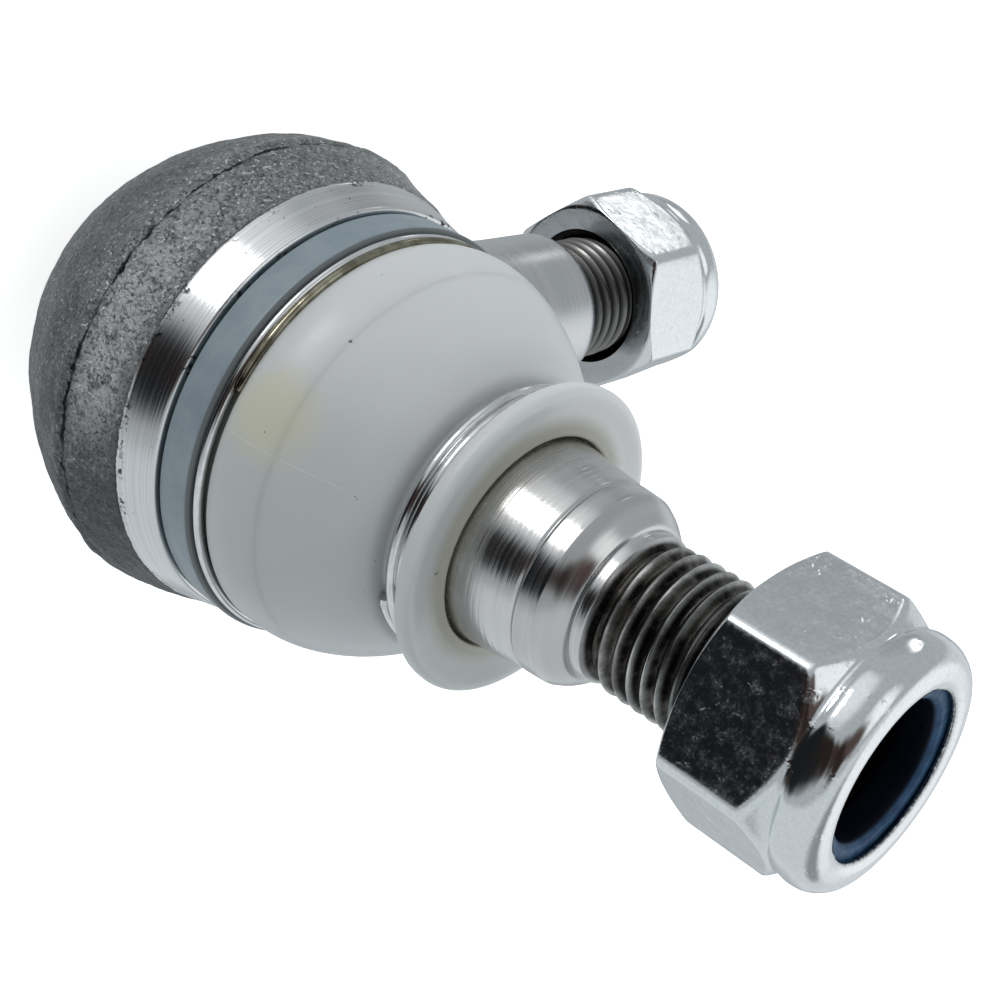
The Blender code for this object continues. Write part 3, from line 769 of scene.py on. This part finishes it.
def nut(name, node, flats, place, turn_deg, body, steel, bore):
    """Nut with a hexagon that runs into a rolled collar; its bore, dark with painted shade, is a
    piece of its own.
    """
    bm = bmesh.new()
    collar = flats / 2 + 0.3
    corner = flats / math.sqrt(3)
    outside = rounded([
        (8.0, 0.0, 0), (NUT_FACE_R, 0.0, 0), (flats / 2 + 0.1, 0.02, 0.3), (corner + 0.3, 1.0, 0.3),
        (corner + 0.3, 8.1, 0.6), (collar + 0.05, 9.75, 0.7), (collar - 0.42, 10.35, 0.6),
        (collar, 11.2, 0.9), (collar - 0.15, 12.9, 1.3), (collar - 1.2, 14.3, 1.1),
        (collar - 2.9, 14.4, 0.9), (collar - 3.65, 14.1, 0.35), (collar - 3.6, 13.8, 0.12),
        (8.7, 13.75, 0)], steps=6)
    turned(bm, resampled(outside, 0.3), 240, shape=nut_shape(flats))
    matrix = place @ Matrix.Rotation(math.radians(turn_deg), 4, "Z")
    piece(name, bm, matrix, body, steel, [node], sharp=50)
    bm = bmesh.new()
    inside = [(8.7, 13.75), (9.0, 13.7), (9.0, 10.3), (7.3, 10.3), (7.3, 0.5), (8.0, 0.0)]
    turned(bm, resampled(inside, 0.5), 96)
    piece(name + "_bore", bm, matrix, body, bore)


def insert(name, node, place, body, material):
    bm = bmesh.new()
    profile = rounded([(6.3, 10.6, 0), (8.6, 10.6, 0.1), (8.6, 13.6, 0.1), (6.85, 13.6, 0.2),
                       (6.4, 13.2, 0.2), (6.3, 12.4, 0)])
    turned(bm, profile, 128, closed=True)
    piece(name, bm, place, body, material, [node])


# ---------------------------------------------------------------- studio

CAMERA_PLACE = Matrix((
    (0.6853677, 0.2490082, -0.6842997, -0.1035637),
    (0.1698206, 0.8591519, 0.4827203, 0.0752768),
    (0.7081187, -0.4470491, 0.5465483, 0.1377292),
    (0.0, 0.0, 0.0, 1.0)))
FOCAL_LENGTH = 61.2
KEY_TOWARDS = (-0.456, 0.825, -0.334)     # from the object to the key light
KEY_DISTANCE = 0.45
KEY_SIZE = (0.18, 0.12)
KEY_POWER = 0.38
OBJECT_CENTRE = (0.01, 0, 0.045)
FLOOR_HALF = 6.0
FLOOR_Z = -0.0002


def camera():
    data = bpy.data.cameras.new("camera")
    data.sensor_width = 36.0
    data.lens = FOCAL_LENGTH
    data.clip_start = 0.005
    data.clip_end = 20.0
    bpy.context.scene.camera = placed("camera", data, CAMERA_PLACE)


def key_light():
    """Rectangular area light that shines at the object's centre."""
    data = bpy.data.lights.new("key", "AREA")
    data.shape = "RECTANGLE"
    data.size, data.size_y = KEY_SIZE
    data.energy = KEY_POWER
    towards = Vector(KEY_TOWARDS).normalized()
    place = Matrix.Translation(Vector(OBJECT_CENTRE) + towards * KEY_DISTANCE)
    placed("key", data, place @ towards.to_track_quat("Z", "Y").to_matrix().to_4x4())


def lobe(tree, direction, where, inner_deg, outer_deg):
    """1 within inner_deg of a direction, easing to 0 at outer_deg."""
    dot = tree.nodes.new("ShaderNodeVectorMath")
    dot.operation = "DOT_PRODUCT"
    tree.links.new(where, dot.inputs[0])
    dot.inputs[1].default_value = Vector(direction).normalized()
    ease = tree.nodes.new("ShaderNodeMapRange")
    ease.interpolation_type = "SMOOTHSTEP"
    ease.inputs[1].default_value = math.cos(math.radians(outer_deg))
    ease.inputs[2].default_value = math.cos(math.radians(inner_deg))
    tree.links.new(dot.outputs["Value"], ease.inputs[0])
    return ease.outputs[0]


ROOM = (                          # direction, full within, none beyond (degrees), colour
    ((0.207, -0.962, 0.174), 76, 90, (0.76, 0.8, 0.82)),
    ((0.203, -0.673, 0.711), 12, 34, (0.34, 0.36, 0.38)),
    ((0.246, -0.826, 0.507), 8, 20, (0.34, 0.36, 0.38)),
    ((0.684, -0.483, -0.547), 22, 38, (0.45, 0.48, 0.50)),
    ((0.673, -0.363, 0.645), 12, 32, (1.15, 1.18, 1.2)),
    ((-0.318, 0.896, -0.311), 12, 38, (0.98, 1.0, 1.01)),
    ((0.731, 0.565, -0.383), 5, 16, (0.42, 0.44, 0.45)),
    ((0.73, 0.637, -0.248), 2, 6, (2.2, 2.2, 2.2)),
    ((0.02, 0.569, 0.822), 8, 24, (1.2, 1.22, 1.23)),
    ((-0.636, -0.009, -0.771), 9, 20, (0.05, 0.035, 0.03)),
    ((-0.84, 0.186, -0.509), 15, 27, (0.012, 0.014, 0.016)),
    ((-0.954, 0.286, -0.089), 8, 18, (0.025, 0.016, 0.014)),
    ((-0.906, 0.324, 0.271), 7, 17, (0.05, 0.034, 0.03)),
    ((-0.721, 0.294, 0.628), 10, 24, (0.035, 0.022, 0.019)),
    ((-0.4, 0.421, 0.814), 6, 18, (0.1, 0.07, 0.062)),
)


def surroundings():
    """Pale room with a broad lamp, a pale table and a dark part, fixed in the row frame."""
    world = bpy.data.worlds.new("studio")
    bpy.context.scene.world = world
    world.use_nodes = True
    tree = world.node_tree
    where = tree.nodes.new("ShaderNodeTexCoord").outputs["Generated"]
    base = tree.nodes.new("ShaderNodeRGB")
    base.outputs[0].default_value = (0.52, 0.545, 0.56, 1.0)
    colour = base.outputs[0]
    for direction, inner, outer, tint in ROOM:
        mix = tree.nodes.new("ShaderNodeMix")
        mix.data_type = "RGBA"
        tree.links.new(lobe(tree, direction, where, inner, outer), mix.inputs[0])
        tree.links.new(colour, mix.inputs[6])
        mix.inputs[7].default_value = (*tint, 1.0)
        colour = mix.outputs[2]
    tree.links.new(colour, tree.nodes["Background"].inputs[0])


def floor():
    """Pale floor that only the camera sees, so it casts no grey over the polished metal."""
    g = Graph("floor_pale", roughness=0.9, emission_color=(1.0, 1.0, 1.0), emission_strength=0.75)
    cloud = g.noise(g.point, 0.01, 2.0)
    g.set("Base Color", g.mix(cloud, (0.93, 0.93, 0.93), (0.95, 0.95, 0.95)))
    mesh = bpy.data.meshes.new("floor")
    h = FLOOR_HALF
    mesh.from_pydata([(-h, -h, 0), (h, -h, 0), (h, h, 0), (-h, h, 0)], [], [(0, 1, 2, 3)])
    mesh.materials.append(g.material)
    obj = placed("floor", mesh, Matrix.Translation((0, 0, FLOOR_Z)))
    obj.visible_shadow = False
    obj.visible_diffuse = False
    obj.visible_glossy = False


# ---------------------------------------------------------------- build

boot_look = boot_rubber()
zinc_look = nut_zinc()
bore_look = nut_bore()
nylon_look = nylon()

housing_body(forged_and_turned())
housing_shank(shank_steel())
closing_ring(ring_coating())
boot_half("boot_lower", False, boot_look)
boot_half("boot_upper", True, boot_look)
wire_clamp("foot_clamp_wire", "housing", "boot_foot_clamp", coil_r=20.3, wire_r=0.46, z0=40.55,
           turns=1.586, pitch=0.84, start_deg=-60, material=bright_wire("foot_clamp_wire", 1.0))
wire_clamp("neck_clamp_wire", "boot_collar", "boot_neck_clamp", coil_r=12.9, wire_r=0.57, z0=57.2,
           turns=1.97, pitch=1.16, start_deg=200, material=bright_wire("neck_clamp_wire", 0.0))
ball_stud(turned_steel())
stud_nut_place = Matrix.Translation((0, 0, (STUD_NUT_Z - FLAT_Z) * MM))
shank_nut_place = SHANK_AXIS @ Matrix.Translation((0, 0, SHANK_NUT_X * MM))
nut("stud_nut_detail", "stud_nut", STUD_NUT_FLATS, stud_nut_place, STUD_NUT_TURN, "stud_nut",
    zinc_look, bore_look)
insert("stud_nut_nylon", "stud_nut_insert", stud_nut_place, "stud_nut_carrier", nylon_look)
nut("shank_nut_detail", "shank_nut", SHANK_NUT_FLATS, shank_nut_place, SHANK_NUT_TURN, "shank_nut",
    zinc_look, bore_look)
insert("shank_nut_nylon", "shank_nut_insert", shank_nut_place, "shank_nut_carrier", nylon_look)

for node, look in (("lower_ball_seat", seat_plastic()), ("upper_ball_seat", seat_plastic()),
                   ("preload_disc_spring", spring_steel())):
    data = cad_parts[node].data
    data.materials.clear()
    data.materials.append(look)

floor()
surroundings()
key_light()
camera()
bpy.context.scene.view_settings.view_transform = "Standard"
